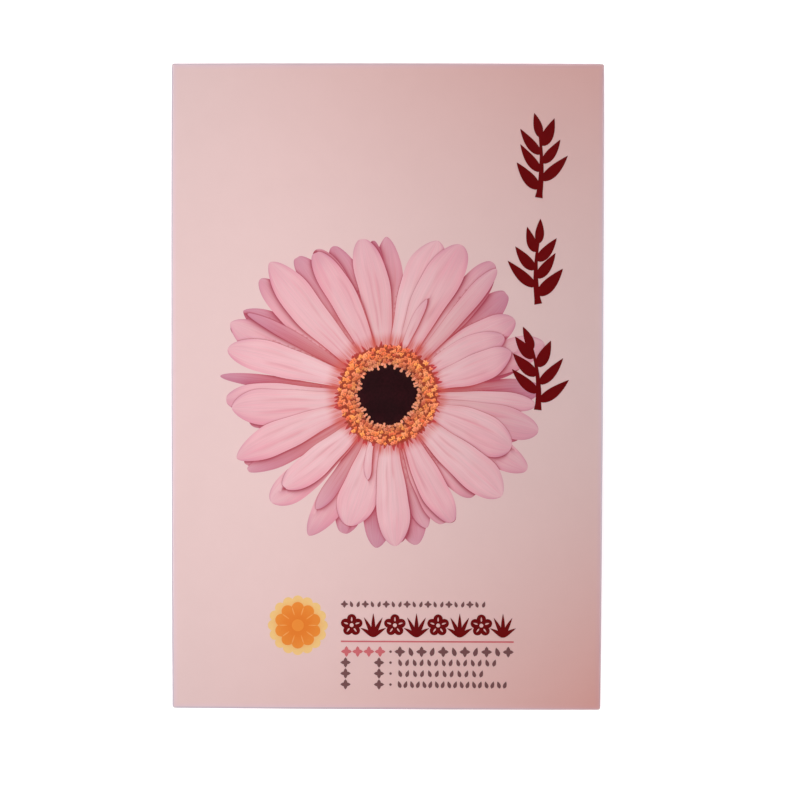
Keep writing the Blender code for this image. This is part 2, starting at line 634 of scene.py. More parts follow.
# Flat shapes of ink
PETAL_LIFT = 0.04 * MM  # how high the upper side of each printed sheet lies over the board
HEART_LIFT = 0.08 * MM
ORNAMENT_LIFT = 0.09 * MM
SHEET_DEPTH = 0.16 * MM  # how thick a sheet is, so that its underside is sunk into the board
JOIN_DISTANCE = 0.0005 * MM  # corners of overlaid outlines that are closer than this become one
INSIDE_TRIANGLES = 1  # what the triangulation gives: the triangles that lie inside the outlines
POINTED = 0.01 * MM  # a root narrower than this is a single point


class Shape:
    """A flat shape of the print: its outline and the ink that fills it. An ink of None is a hole."""

    def __init__(self, outline, ink):
        self.outline = outline
        self.ink = ink


def towards(angle):
    return Vector((math.cos(angle), math.sin(angle)))


def left_of(along):
    return Vector((-along.y, along.x))


def circle(x, y, radius, steps=24):
    turns = [2 * math.pi * i / steps for i in range(steps)]
    return [(x + radius * math.cos(turn), y + radius * math.sin(turn)) for turn in turns]


def eased(i, steps):
    """Runs from 0 towards 1, with finer steps towards 1, where tips are round."""
    return math.sin(math.pi / 2 * i / steps)


def blade(root, angle, length, bend, half_width, steps=18):
    """A shape that runs from its root at an angle, bent sideways, and is half_width(t, side) wide."""
    along = towards(angle)
    left = left_of(along)
    right_side = [(eased(i, steps), -1) for i in range(steps)]
    left_side = [(eased(i, steps), 1) for i in reversed(range(1, steps))]
    points = []
    for t, side in right_side + [(1.0, -1)] + left_side + [(0.0, 1)]:
        sideways = bend * t * t + side * half_width(t, side)
        point = Vector(root) + along * (length * t) + left * sideways
        points.append((point.x, point.y))
    if half_width(0.0, 1) < POINTED:
        points.pop()
    return points


def lattice(points, spacing):
    """Extra points in a regular lattice, where the sheet needs corners inside its outlines."""
    low_x, high_x = min(x for x, y in points), max(x for x, y in points)
    low_y, high_y = min(y for x, y in points), max(y for x, y in points)
    columns = int((high_x - low_x) / spacing)
    rows = int((high_y - low_y) / spacing)
    inner = []
    for row in range(1, rows):
        shift = 0.5 * (row % 2)
        for column in range(1, columns):
            inner.append((low_x + (column + shift) * spacing, low_y + row * spacing))
    return inner


def overlay(shapes, spacing=None, guides=()):
    """Lays the shapes on each other, the later ones on top, as one drawing.

    A drawing is a list of corners and a list of triangles, each with the shape that it belongs to.
    A lattice of this spacing and the guides give it extra corners inside the outlines.
    """
    points = []
    loops = []
    for shape in shapes:
        loops.append(list(range(len(points), len(points) + len(shape.outline))))
        points.extend(shape.outline)
    if spacing:
        points.extend(lattice(points, spacing))
    points.extend(guides)
    flat = [Vector(point) for point in points]
    drawn = delaunay_2d_cdt(flat, [], loops, INSIDE_TRIANGLES, JOIN_DISTANCE, True)
    corners, _, triangles, _, _, owners = drawn
    return corners, [(triangle, shapes[max(owner)]) for triangle, owner in zip(triangles, owners) if owner]


def sheet_of_ink(name, corners, faces, lift, read):
    """A thin sheet on the lid's face. read gives the two vectors that the ink takes at a point."""
    shape = bmesh.new()
    layers = [shape.loops.layers.float_vector.new(layer) for layer in ("place", "mood")] if read else []
    verts = {}
    for triangle, owner in faces:
        for index in triangle:
            if index not in verts:
                x, y = corners[index]
                verts[index] = shape.verts.new((x, y, face_height(x, y) + lift))
        face = shape.faces.new([verts[index] for index in triangle])
        if read:
            for loop in face.loops:
                for layer, vector in zip(layers, read(owner, loop.vert.co.x, loop.vert.co.y)):
                    loop[layer] = vector
    return to_mesh(name, shape)


def lay(name, drawing, ink, material, lift, read=None):
    """Prints all that one ink fills in a drawing, as one piece that is sunk a little into the board."""
    corners, faces = drawing
    own = [(triangle, shape) for triangle, shape in faces if shape.ink == ink]
    piece = new_piece(name, sheet_of_ink(name, corners, own, lift, read), material)
    sheet = piece.modifiers.new("sheet", "SOLIDIFY")
    sheet.thickness = SHEET_DEPTH
    sheet.offset = -1.0


# The daisy's petals
WIDEST = 0.66  # where along it a petal is widest
BASE_SHARE = 0.53  # how wide its base is, as a share of that
BASE_POWER = 1.4
ROOT_COVER = 3 * MM  # how far it runs in under the ring
TIP_POWERS = (1.7, 2.6)  # how late the tip closes
TIP_TAPERS = (0.5, 0.72)  # how pointed it is
EDGE_WAVE = 0.05
FINE_WAVE = 0.018
NOTCHES = (-1.4, 1.2)  # in millimetres, where less than none leaves the tip whole
NOTCH_SPREAD = 0.2  # half the width of the notch, as a share of the petal's
MOST_BEND = 5.5  # in millimetres
DRIFT = 5.2 * MM  # how much further the petals reach on one side of the daisy
DRIFT_ANGLE = math.radians(120)
PETAL_STEPS = 30
PETAL_SPACING = 1.3 * MM
SHADE_LINE = 0.7 * MM  # the sheet gets extra corners this far outside each petal, where its shade falls

# The light and shade in the picture of the petals
SUN = Vector((-0.45, 0.89))  # where the light comes from
SHADE_ANGLE = math.radians(40)  # a petal casts no shade on one that points further away than this
FAR = 9.0 * MM  # nor on what is further off than this
EVEN_LEE = 0.55  # how far both sides of a petal lie in its lee when the light comes along it
LEE_SWING = 0.75  # how much this changes, up on one side and down on the other, when it comes across
LEAST_SHADE = 0.25  # how far shade spreads on the side towards the light, as a share of the other side's
LIT_EDGE = 0.14 * MM  # how much of the shade beside a petal the light takes away on that side
LEAST_WIDTH = 0.3 * MM  # places across a petal are told as shares of its half width, or of this at a tip
MOST_ACROSS = 1.2


class Petal(Shape):
    """One petal, from under the ring to its tip."""

    def __init__(self, daisy, layer, angle, reach, half_width, bend, tone, chance):
        self.centre = Vector((daisy.centre_x, daisy.centre_y))
        self.start = daisy.ring_radius - ROOT_COVER
        self.angle = angle
        self.length = reach - self.start
        self.half_width = half_width
        self.bend = bend
        self.tone = tone
        self.chance = chance.random()
        self.tip_power = chance.uniform(*TIP_POWERS)
        self.tip_taper = chance.uniform(*TIP_TAPERS)
        self.notch = max(0.0, chance.uniform(*NOTCHES)) * MM
        self.along = towards(angle)
        self.left = left_of(self.along)
        super().__init__([self.notched(*point) for point in self.line_outside(0.0)], layer)

    def line_outside(self, gap):
        """The line that runs round the petal this far outside it."""

        def half_width(t, side):
            return self.half_width_at(t, side) + gap

        root = self.centre + self.along * self.start
        return blade(root, self.angle, self.length + gap, self.bend, half_width, steps=PETAL_STEPS)

    def half_width_at(self, t, side):
        """The distance from the petal's middle to its edge, which waves a little."""
        t = min(max(t, 0.0), 1.0)
        if t < WIDEST:
            width = BASE_SHARE + (1 - BASE_SHARE) * math.sin(math.pi / 2 * t / WIDEST) ** BASE_POWER
        else:
            width = (1 - ((t - WIDEST) / (1 - WIDEST)) ** self.tip_power) ** self.tip_taper
        wave = 1 + EDGE_WAVE * math.sin(6.5 * t + 6.3 * self.chance + side)
        wave += FINE_WAVE * math.sin(17 * t + 19 * self.chance + 2 * side)
        return self.half_width * width * wave

    def notched(self, x, y):
        """An outline's point, drawn in where the petal's tip has its notch."""
        t, sideways = self.local(x, y)
        if t <= WIDEST:
            return x, y
        pull = self.notch * math.exp(-((sideways / (NOTCH_SPREAD * self.half_width)) ** 2))
        return x - self.along.x * pull, y - self.along.y * pull

    def local(self, x, y):
        """The share of the petal's length at which a point is, and how far to the left, in metres."""
        offset = Vector((x, y)) - self.centre
        t = (offset.dot(self.along) - self.start) / self.length
        return t, offset.dot(self.left) - self.bend * t * abs(t)

    def shade_distance(self, x, y):
        """How far outside the petal a point is, counted longer where the light reaches it."""
        t, sideways = self.local(x, y)
        side = 1 if sideways > 0 else -1
        gap = max(0.0, abs(sideways) - self.half_width_at(t, side))
        if t > 1:
            gap = math.hypot(gap, (t - 1) * self.length)
        lee = smooth(EVEN_LEE - LEE_SWING * side * self.left.dot(SUN))
        return (gap + LIT_EDGE * (1 - lee)) / (LEAST_SHADE + (1 - LEAST_SHADE) * lee)


def close(angle, other, limit):
    """Whether two directions are less than a limit apart."""
    return math.cos(angle - other) > math.cos(limit)


def spread_angles(chance, count, jitter):
    """Directions all round the daisy, uneven by a share of their pitch."""
    start = chance.uniform(0, 2 * math.pi)
    return [start + 2 * math.pi * (i + chance.uniform(-jitter, jitter)) / count for i in range(count)]


def widest_gaps(angles, count):
    """The middles of the widest gaps between neighbouring directions."""
    following = angles[1:] + [angles[0] + 2 * math.pi]
    gaps = sorted(zip(angles, following), key=lambda pair: pair[0] - pair[1])
    return [(low + high) / 2 for low, high in gaps[:count]]


def petal_layers(daisy):
    """All petals, the lowest first: three layers, with rolled petals in the gaps of the front one."""
    chance = random.Random(daisy.seed)
    front = spread_angles(chance, daisy.front_petals, 0.33)
    middle = spread_angles(chance, daisy.middle_petals, 0.3)
    back = spread_angles(chance, daisy.back_petals, 0.42)
    # Layer and directions, then ranges: reach and width as shares of the daisy's, and darker tone
    plan = (
        ("back", back, (0.86, 1.04), (0.80, 1.0), (0.3, 0.95)),
        ("middle", middle, (0.88, 1.06), (0.86, 1.08), (0.02, 0.34)),
        ("middle", widest_gaps(front, daisy.rolled_petals), (0.84, 1.03), (0.36, 0.64), (0.1, 1.1)),
        ("front", front, (0.82, 1.07), (0.84, 1.2), (0.0, 0.1)),
        ("front", spread_angles(chance, daisy.short_petals, 0.4), (0.48, 0.62), (0.24, 0.34), (0.0, 0.2)),
    )
    layers = {"back": [], "middle": [], "front": []}
    for layer, angles, reaches, widths, tones in plan:
        for angle in angles:
            reach = daisy.reach * chance.uniform(*reaches) + DRIFT * math.cos(angle - DRIFT_ANGLE)
            width = daisy.half_width * chance.uniform(*widths)
            bend = chance.uniform(-MOST_BEND, MOST_BEND) * MM
            petal = Petal(daisy, layer, angle, reach, width, bend, chance.uniform(*tones), chance)
            layers[layer].insert(chance.randint(0, len(layers[layer])), petal)
    return layers["back"] + layers["middle"] + layers["front"]


def petal_reader(petals):
    """Gives what the ink reads at a point: its place on the petal, and the shade and light there."""
    above = {}
    for i, petal in enumerate(petals, 1):
        above[petal] = [other for other in petals[i:] if close(petal.angle, other.angle, SHADE_ANGLE)]

    def read(petal, x, y):
        t, sideways = petal.local(x, y)
        side = 1 if sideways > 0 else -1
        width = max(petal.half_width_at(t, side), LEAST_WIDTH)
        across = max(-MOST_ACROSS, min(MOST_ACROSS, sideways / width))
        gap = min([other.shade_distance(x, y) for other in above[petal]] + [FAR])
        return (t, across, petal.chance), (gap / MM, petal.tone, across * petal.left.dot(SUN))

    return read


# Where the parts of a petal begin and end along it, and across it from its middle line
BASE = (0.05, 0.55)
ROOT = (0.06, 0.17)
OUTER_HALF = (0.25, 0.9)
TIP = (0.74, 1.02)
EDGE = (0.55, 1.02)
RIM = (0.86, 1.0)

# The shade beside the petals above, in millimetres from their edges
DRAWN_LINE = 0.95  # how far the drawn line spreads
SHADE_START = 0.35  # where the soft shade begins to fade


def petal_ink(daisy):
    """Pale pink with fine streaks and creases, mauve at its tip, and crimson in the gaps by the ring."""
    paint = new_paint("petal ink")
    t, across, chance = paint.parts(paint.attribute("place"))
    gap, tone, lit = paint.parts(paint.attribute("mood"))
    base = 1.0 - t.between(*BASE)
    root = 1.0 - t.between(*ROOT)
    far = t.between(*OUTER_HALF)
    tip = t.between(*TIP)
    edge = abs(across).between(*EDGE)
    rim = abs(across).between(*RIM)

    # Random patterns, drawn out along the petal and different on each
    veins = paint.joined(across * 7.5 + chance * 40.0, t * 1.5, chance * 9.0)
    hairs = paint.joined(across * 15.0 + chance * 70.0, t * 3.0, chance * 5.0)
    folds = paint.joined(across * 1.3, t * 2.2, chance * 31.0)
    streaks = paint.noise(veins, 1.0, detail=4.0, roughness=0.6)
    fine = paint.noise(hairs, 1.0, detail=2.0)
    broad = paint.noise(folds, 1.0, detail=1.0)

    # Rosier at the edges and away from the light, with a groove on either side of the middle
    blush = chance.between(0.2, 1.0) * 0.16 + broad.between(0.35, 0.7) * 0.18 + far * 0.17
    blush = (blush + edge * (0.10 + far * 0.18) - lit * 0.2).most(0.0)
    colour = paint.mix(blush, daisy.pale, daisy.rose)
    colour = paint.mix((streaks - 0.5).most(0.0) * 1.5, colour, daisy.rose)
    groove = 1.0 - abs(abs(across + (broad - 0.5) * 0.5) - 0.2 - chance * 0.25).between(0.0, 0.16)
    groove = groove * (1.0 - t.between(0.35, 1.0)) * broad.between(0.4, 0.62)
    colour = paint.mix(groove * 0.24, colour, daisy.crimson)
    turned = chance.between(0.5, 0.8) * 0.2 + tone * 0.4
    colour = paint.mix(tip * (0.12 + edge * 0.22 + rim * 0.26 + turned), colour, daisy.mauve)

    # The darker a petal's tone, the more it shows its rolled underside
    rolled = paint.mix(t.between(0.2, 0.6), paint.scaled(daisy.crimson, 0.82), daisy.plum)
    rolled = paint.mix(t.between(0.45, 1.0), rolled, daisy.mauve)
    roll = tone * (0.9 - tip * 0.45 - lit * 0.3) + (streaks - 0.5) * tone * 0.7
    colour = paint.mix(roll.most(0.0).least(0.95), colour, rolled)

    # Soft shade beside the petals above, and a drawn line along their edges
    deep = paint.mix(t.between(0.12, 0.8), daisy.crimson, daisy.plum)
    soft = ((gap - SHADE_START).most(0.0) / (0.55 + base * 0.2 + far * 1.0)).decay()
    colour = paint.mix(soft * (0.78 + far * 0.08), colour, deep)
    drawn = 0.42 + broad.between(0.36, 0.6) * 0.56
    colour = paint.mix((gap / DRAWN_LINE).decay() * drawn, colour, paint.scaled(deep, 0.68))

    # Coral where the petal comes out from under the ring
    colour = paint.mix(base * edge * 0.2, colour, daisy.crimson)
    rooted = root * (0.36 + edge * 0.4 + streaks.between(0.42, 0.6) * 0.35 + tone * 0.1)
    colour = paint.mix(rooted.least(0.95), colour, daisy.coral)
    return varnish(paint, paint.scaled(colour, 1.0 + (streaks - 0.5) * 0.16 + (fine - 0.5) * 0.2))


class GIFTBOX_OT_petals(bpy.types.Operator):
    """Print the daisy's petals"""

    bl_idname = "gift_box.petals"
    bl_label = "Petals"

    def execute(self, context):
        daisy = context.scene.gift_box_daisy
        petals = petal_layers(daisy)
        guides = [point for petal in petals for point in petal.line_outside(SHADE_LINE)]
        drawing = overlay(petals, PETAL_SPACING, guides)
        read = petal_reader(petals)
        ink = petal_ink(daisy)
        for layer in ("back", "middle", "front"):
            lay("petals_" + layer, drawing, layer, ink, PETAL_LIFT, read)
        return {"FINISHED"}


# The daisy's ring and eye
RING_WAVE = 0.6 * MM  # how far the ring's edges stray from a circle
GROUND_INSET = 1.2 * MM  # how far inside the ring's rim its ground ends
EYE_COVER = 1.1 * MM  # how far the eye's ink runs in under the florets
FLORET_ROWS = 6
FLORET_PITCH = 2.25 * MM
FLORET_RADIUS = 0.98 * MM
FLORET_STEPS = 18
FLORET_STRAY = 0.7  # in millimetres, and nearly twice as much in the outermost row
ROWS_START = 1.2 * MM  # how far outside the eye the rows of florets begin
ROWS_INSET = 2.3 * MM  # how much narrower all the rows together are than the ring
BRACTS = 80
BRACT_INSET = 1.5 * MM  # how far inside the rim the bracts are rooted
BRACT_WIDTH = 0.8 * MM
BRACT_LENGTHS = (0.8 * MM, 4.0 * MM)
BRACT_TAPER = 0.8
STAMENS = 42
STAMEN_INSET = 1.7 * MM  # how far outside the eye the stamens are rooted
STALK_LENGTHS = (0.2, 2.3)  # in millimetres
STALK_WIDTH = 0.5 * MM
HEAD_RADII = (0.55, 0.85)  # in millimetres


def uneven(angle):
    """How far out the ring's edge strays in this direction."""
    return RING_WAVE * (0.55 * math.sin(3 * angle + 1) + 0.45 * math.sin(7 * angle + 4))


def uneven_circle(centre, radius, ink, steps=90):
    outline = []
    for i in range(steps):
        angle = 2 * math.pi * i / steps
        reach = radius + uneven(angle)
        outline.append((centre.x + reach * math.cos(angle), centre.y + reach * math.sin(angle)))
    return Shape(outline, ink)


class Floret(Shape):
    """A tiny trumpet of the ring, seen from above."""

    def __init__(self, x, y, radius, row, chance):
        self.x = x
        self.y = y
        self.radius = radius
        self.row = row
        self.chance = chance.random()
        lobe_count = chance.choice((3, 4, 5))
        depth = chance.uniform(0.15, 0.4)
        stretch = chance.uniform(1.0, 1.5)
        turn = chance.uniform(0, 2 * math.pi)
        outline = []
        for i in range(FLORET_STEPS):
            angle = 2 * math.pi * i / FLORET_STEPS
            reach = radius * (1 + depth * math.cos(lobe_count * angle))
            point = Vector((reach * math.cos(angle) * stretch, reach * math.sin(angle)))
            point.rotate(Matrix.Rotation(turn, 2))
            outline.append((x + point.x, y + point.y))
        super().__init__(outline, "florets")


def read_floret(floret, x, y):
    """What the florets' ink reads at a point: its place on the floret, and the row and light there."""
    offset = Vector((x - floret.x, y - floret.y)) / floret.radius
    return (offset.x, offset.y, floret.chance), (floret.row, offset.dot(SUN), 0.0)


def bract_width(half_width):
    """A slip that is widest at its root and ends in a short point."""

    def at(t, side):
        return half_width * (1 - t * t) ** BRACT_TAPER

    return at


def bracts(centre, radius, chance):
    """Pointed slips that stand out of the ring in all directions."""
    made = []
    for i in range(BRACTS):
        angle = 2 * math.pi * (i + chance.uniform(-0.6, 0.6)) / BRACTS
        root = centre + towards(angle) * (radius + uneven(angle))
        turn = chance.uniform(-0.35, 0.35)
        width = bract_width(BRACT_WIDTH * chance.uniform(0.7, 1.3))
        length = chance.uniform(*BRACT_LENGTHS)
        made.append(Shape(blade(root, angle + turn, length, 0.0, width, steps=6), "ground"))
    return made


def florets(daisy, centre, chance):
    """Uneven rows of florets from the eye to the rim, which overlap in no order."""
    first = daisy.eye_radius + ROWS_START
    depth = daisy.ring_radius - daisy.eye_radius - ROWS_INSET
    made = []
    for i in range(FLORET_ROWS):
        row = i / FLORET_ROWS
        radius = first + (i + 0.25) * depth / FLORET_ROWS
        count = int(2 * math.pi * radius / FLORET_PITCH)
        for j in range(count):
            angle = 2 * math.pi * (j + chance.uniform(-0.35, 0.35)) / count
            stray = chance.uniform(-FLORET_STRAY, FLORET_STRAY) * (1 + row) * MM
            place = centre + towards(angle) * (radius + uneven(angle) + stray)
            size = FLORET_RADIUS * chance.uniform(0.7, 1.15)
            made.append(Floret(place.x, place.y, size, row, chance))
    chance.shuffle(made)
    return made


def stamens(centre, radius, chance):
    """Thin stalks with round heads, which stand out of the ring over the eye."""
    made = []
    for i in range(STAMENS):
        angle = 2 * math.pi * (i + chance.uniform(-0.35, 0.35)) / STAMENS
        outwards = towards(angle)
        foot = centre + outwards * (radius + uneven(angle))
        length = chance.uniform(*STALK_LENGTHS) * MM
        head = foot - outwards * length
        stalk = blade(foot, angle + math.pi, length, 0.0, lambda t, side: STALK_WIDTH, steps=2)
        made.append(Shape(stalk, "stamens"))
        made.append(Shape(circle(head.x, head.y, chance.uniform(*HEAD_RADII) * MM, steps=10), "stamens"))
    return made


def heart_shapes(daisy):
    """The ring's dark ground with its bracts, the eye, the florets, and the stamens over the eye."""
    chance = random.Random(daisy.seed + 1)
    centre = Vector((daisy.centre_x, daisy.centre_y))
    shapes = bracts(centre, daisy.ring_radius - BRACT_INSET, chance)
    shapes.append(uneven_circle(centre, daisy.ring_radius - GROUND_INSET, "ground"))
    shapes.append(uneven_circle(centre, daisy.eye_radius + EYE_COVER, "eye"))
    shapes += florets(daisy, centre, chance)
    return shapes + stamens(centre, daisy.eye_radius + STAMEN_INSET, chance)


# The grain of the ring's and the eye's inks
GROUND_SCALE = 900.0
BUD_SCALE = 900.0
WARM_SCALE = 60.0
RED_RIM = (-2.5 * MM, 1.5 * MM)  # how far beyond the ring's radius its ground turns red
DARK_FOOT = (1.0 * MM, 4.5 * MM)  # how far outside the eye the ground stops being dark


def floret_ink(daisy):
    """Orange lobes lit from above, dark in the throat, paler towards the eye."""
    paint = new_paint("floret ink")
    x, y, chance = paint.parts(paint.attribute("place"))
    row, lit, _ = paint.parts(paint.attribute("mood"))
    from_middle = (x * x + y * y) ** 0.5
    pick = paint.noise(paint.joined(chance * 60.0, 0.0, 0.0), 1.0, detail=0.0)
    colour = paint.mix(chance.between(0.1, 0.9), daisy.orange, daisy.gold)
    colour = paint.mix((1.0 - row.between(0.0, 0.3)) * 0.3, colour, daisy.cream)
    colour = paint.mix(pick.between(0.52, 0.58) * 0.5, colour, daisy.coral)
    colour = paint.mix((1.0 - pick.between(0.42, 0.48)) * 0.5, colour, daisy.cream)
    # Throats and the sides away from the light are dark
    throat = 1.0 - from_middle.between(0.05, 0.45)
    colour = paint.mix(throat * 0.7, colour, daisy.ember)
    colour = paint.mix((-lit).between(0.15, 0.9) * 0.65, colour, daisy.ember)
    colour = paint.mix(lit.between(0.3, 1.0) * 0.3, colour, daisy.cream)
    return varnish(paint, paint.scaled(colour, 0.9 + row.between(0.0, 0.7) * 0.33))


def ring_ground_ink(daisy):
    """Dark orange-red between the florets, redder at the rim and darker at the eye."""
    paint = new_paint("ring ground ink")
    place = paint.place()
    speckle = paint.noise(place, GROUND_SCALE, detail=2.0)
    x, y, _ = paint.parts(place)
    away = ((x - daisy.centre_x) ** 2.0 + (y - daisy.centre_y) ** 2.0) ** 0.5
    red = away.between(*(daisy.ring_radius + gap for gap in RED_RIM))
    dark = 1.0 - away.between(*(daisy.eye_radius + gap for gap in DARK_FOOT))
    colour = paint.mix(speckle.between(0.4, 0.65) * 0.2, daisy.ember, daisy.orange)
    colour = paint.mix(dark * 0.75, colour, daisy.eye)
    return varnish(paint, paint.mix(red, colour, daisy.crimson))


def eye_ink(daisy):
    """Almost black maroon, with the fine grain of unopened florets."""
    paint = new_paint("eye ink")
    place = paint.place()
    buds = paint.cells(place, BUD_SCALE)
    warm = paint.noise(place, WARM_SCALE, detail=1.0)
    colour = paint.mix(warm.between(0.4, 0.7), daisy.eye, paint.scaled(daisy.eye, 1.6))
    return varnish(paint, paint.scaled(colour, 1.25 - buds * 0.7), coat=0.0, gloss=DARK_GLOSS)


class GIFTBOX_OT_heart(bpy.types.Operator):
    """Print the daisy's golden ring and dark eye"""

    bl_idname = "gift_box.heart"
    bl_label = "Ring and eye"

    def execute(self, context):
        daisy = context.scene.gift_box_daisy
        drawing = overlay(heart_shapes(daisy))
        inks = {
            "ground": ring_ground_ink(daisy),
            "eye": eye_ink(daisy),
            "florets": floret_ink(daisy),
            "stamens": plain_ink("stamen ink", daisy.cream, depth=0.25),
        }
        for part, ink in inks.items():
            read = read_floret if part == "florets" else None
            lay("daisy_" + part, drawing, part, ink, HEART_LIFT, read)
        return {"FINISHED"}


# The leaf sprays, from the top down: lean in degrees, bend of the stem, and side of the first leaf
SPRAYS = ((-9, 5 * MM, 1), (10, -6 * MM, -1), (-6, 7 * MM, -1))
SPRAY_SEED = 7
SPRAY_SPACING = 4 * MM
SPRAY_LEAVES = 6
STEM_SHARE = 0.76  # the stem as a share of the spray's height
STEM_WIDTH = 1.5 * MM
FIRST_LEAF = 0.14  # where along the stem the lowest leaf grows
LEAF_REACH = 0.66  # how far from it, along the stem, the highest one does
LEAF_WIDTH = 3.1 * MM
LEAF_BEND = 3.4 * MM
TIP_PLACE = 0.92  # where along the stem the leaf at its tip is rooted
TIP_LENGTH = 0.30  # as a share of the spray's height
TIP_WIDTH = 2.3 * MM
TIP_BEND = 1.2 * MM


def leaf_width(half_width):
    """A brush leaf: it swells soon after its root and is drawn out to a point."""

    def at(t, side):
        return half_width * math.sin(math.pi * t**0.72) ** 0.85 if 0 < t < 1 else 0.0

    return at


def stem_width(half_width):
    """A brush stroke that is pressed at its foot and thins upwards."""

    def at(t, side):
        return half_width * (0.45 + 0.55 * math.cos(math.pi / 2 * t) ** 2 + 0.35 * math.exp(-20 * t))

    return at


def leaf(root, angle, length, bend, half_width, ink="ink"):
    return Shape(blade(root, angle, length, bend, leaf_width(half_width)), ink)


def spray(x, low_y, height, lean, bend, first_side, chance):
    """A sprig: a bent stem with brush leaves on alternate sides and one at its tip."""
    root = Vector((x, low_y))
    angle = math.radians(90 + lean)
    along = towards(angle)
    left = left_of(along)
    stem = height * STEM_SHARE
    shapes = [Shape(blade(root, angle, stem, bend, stem_width(STEM_WIDTH)), "ink")]
    for i in range(SPRAY_LEAVES):
        t = FIRST_LEAF + LEAF_REACH * i / (SPRAY_LEAVES - 1)
        side = first_side if i % 2 == 0 else -first_side
        start = root + along * (stem * t) + left * (bend * t * t)
        # The lower leaves are longer and open further
        opening = math.radians(64 - 22 * t + chance.uniform(-5, 5))
        turn = math.atan2(2 * bend * t, stem) + side * opening
        length = height * (0.47 - 0.15 * t) * chance.uniform(0.88, 1.08)
        width = LEAF_WIDTH * (1 - 0.15 * t) * chance.uniform(0.88, 1.12)
        shapes.append(leaf(start, angle + turn, length, -side * LEAF_BEND, width))
    tip = root + along * (stem * TIP_PLACE) + left * (bend * 0.85)
    turn = math.atan2(2 * bend, stem)
    shapes.append(leaf(tip, angle + turn, height * TIP_LENGTH, TIP_BEND, TIP_WIDTH))
    return shapes


class GIFTBOX_OT_sprays(bpy.types.Operator):
    """Print the three leaf sprays at the right"""

    bl_idname = "gift_box.sprays"
    bl_label = "Leaf sprays"

    def execute(self, context):
        look = context.scene.gift_box_ornaments
        chance = random.Random(SPRAY_SEED)
        shapes = []
        for i, (lean, bend, side) in enumerate(SPRAYS):
            low = look.spray_top - look.spray_height - i * (look.spray_height + look.spray_gap)
            shapes += spray(look.spray_x, low, look.spray_height, lean, bend, side, chance)
        ink = plain_ink("dark red ink", look.dark_red, DARK_DEPTH, DARK_GLOSS)
        lay("leaf_sprays", overlay(shapes, SPRAY_SPACING), "ink", ink, ORNAMENT_LIFT)
        return {"FINISHED"}


# The small blossom and the rosettes. Lengths without a unit are shares of the whole radius
LOBE_OVERLAP = 1.12  # how much larger the lobes are than lobes that just touch
LOBE_DISC = 0.45  # the disc under the inner ends of the lobes
RAY_START = 0.34
OUTER_LOBES = 16
INNER_LOBES = 10
INNER_RADIUS = 0.78
INNER_GLOW = 0.9  # how far out the inner lobes' ink changes
GLOW_SCALE = 320.0
VEIN_LENGTH = 0.3
VEIN_WIDTH = 0.3 * MM
BLOSSOM_MIDDLE = 0.2
ROSETTE_LOBES = 5
SLIT_LENGTH = 0.42
SLIT_WIDTH = 0.07
OPEN_MIDDLE = 0.18
ROSETTE_SHARE = 0.46  # a rosette's radius as a share of the row's height

# The fans between the rosettes. Lengths are shares of a fan's height
FAN_SHORTER = 0.09  # how much shorter the leaves beside the middle one are
FAN_ANGLE = 20  # in degrees, between one leaf and the next
FAN_BEND = 0.08
FAN_WIDTH = 0.085


def lobes(x, y, radius, count, ink, start=0.0):
    """Round petals side by side round a middle."""
    shapes = [Shape(circle(x, y, radius * LOBE_DISC), ink)]
    lobe = radius * math.sin(math.pi / count) / (1 + math.sin(math.pi / count)) * LOBE_OVERLAP
    for i in range(count):
        angle = start + 2 * math.pi * i / count
        place = Vector((x, y)) + towards(angle) * (radius - lobe)
        shapes.append(Shape(circle(place.x, place.y, lobe), ink))
        wedge = blade((x, y), angle, radius - lobe, 0.0, lambda t, side: lobe * t, steps=8)
        shapes.append(Shape(wedge, ink))
    return shapes


def rays(x, y, radius, length, half_width, start, count, ink):
    """Thin leaves that point outwards, evenly round a middle, from a start in degrees."""
    made = []
    for i in range(count):
        angle = math.radians(start + 360 // count * i)
        root = Vector((x, y)) + towards(angle) * (radius * RAY_START)
        made.append(leaf(root, angle, radius * length, 0.0, half_width, ink))
    return made


def glowing_ink(name, x, y, radius, inner, outer):
    """An ink that changes from the middle of the small blossom outwards."""
    paint = new_paint(name)
    place = paint.place()
    at_x, at_y, _ = paint.parts(place)
    away = ((at_x - x) ** 2.0 + (at_y - y) ** 2.0) ** 0.5
    grain = paint.noise(place, GLOW_SCALE, detail=2.0)
    colour = paint.mix((away / radius + (grain - 0.5) * 0.2).between(0.2, 1.0), inner, outer)
    return varnish(paint, colour)


class GIFTBOX_OT_blossom(bpy.types.Operator):
    """Print the small golden blossom"""

    bl_idname = "gift_box.blossom"
    bl_label = "Golden blossom"

    def execute(self, context):
        look = context.scene.gift_box_ornaments
        x, y, radius = look.blossom_x, look.blossom_y, look.blossom_radius
        shapes = lobes(x, y, radius, OUTER_LOBES, "straw")
        shapes += lobes(x, y, radius * INNER_RADIUS, INNER_LOBES, "amber", math.radians(18))
        shapes += rays(x, y, radius, VEIN_LENGTH, VEIN_WIDTH, 0, INNER_LOBES, "straw")
        shapes += [Shape(circle(x, y, radius * BLOSSOM_MIDDLE), "straw")]
        drawing = overlay(shapes)
        straw = glowing_ink("straw ink", x, y, radius, look.amber, look.straw)
        amber = glowing_ink("amber ink", x, y, radius * INNER_GLOW, look.ochre, look.amber)
        lay("blossom_straw", drawing, "straw", straw, ORNAMENT_LIFT)
        lay("blossom_amber", drawing, "amber", amber, ORNAMENT_LIFT)
        return {"FINISHED"}


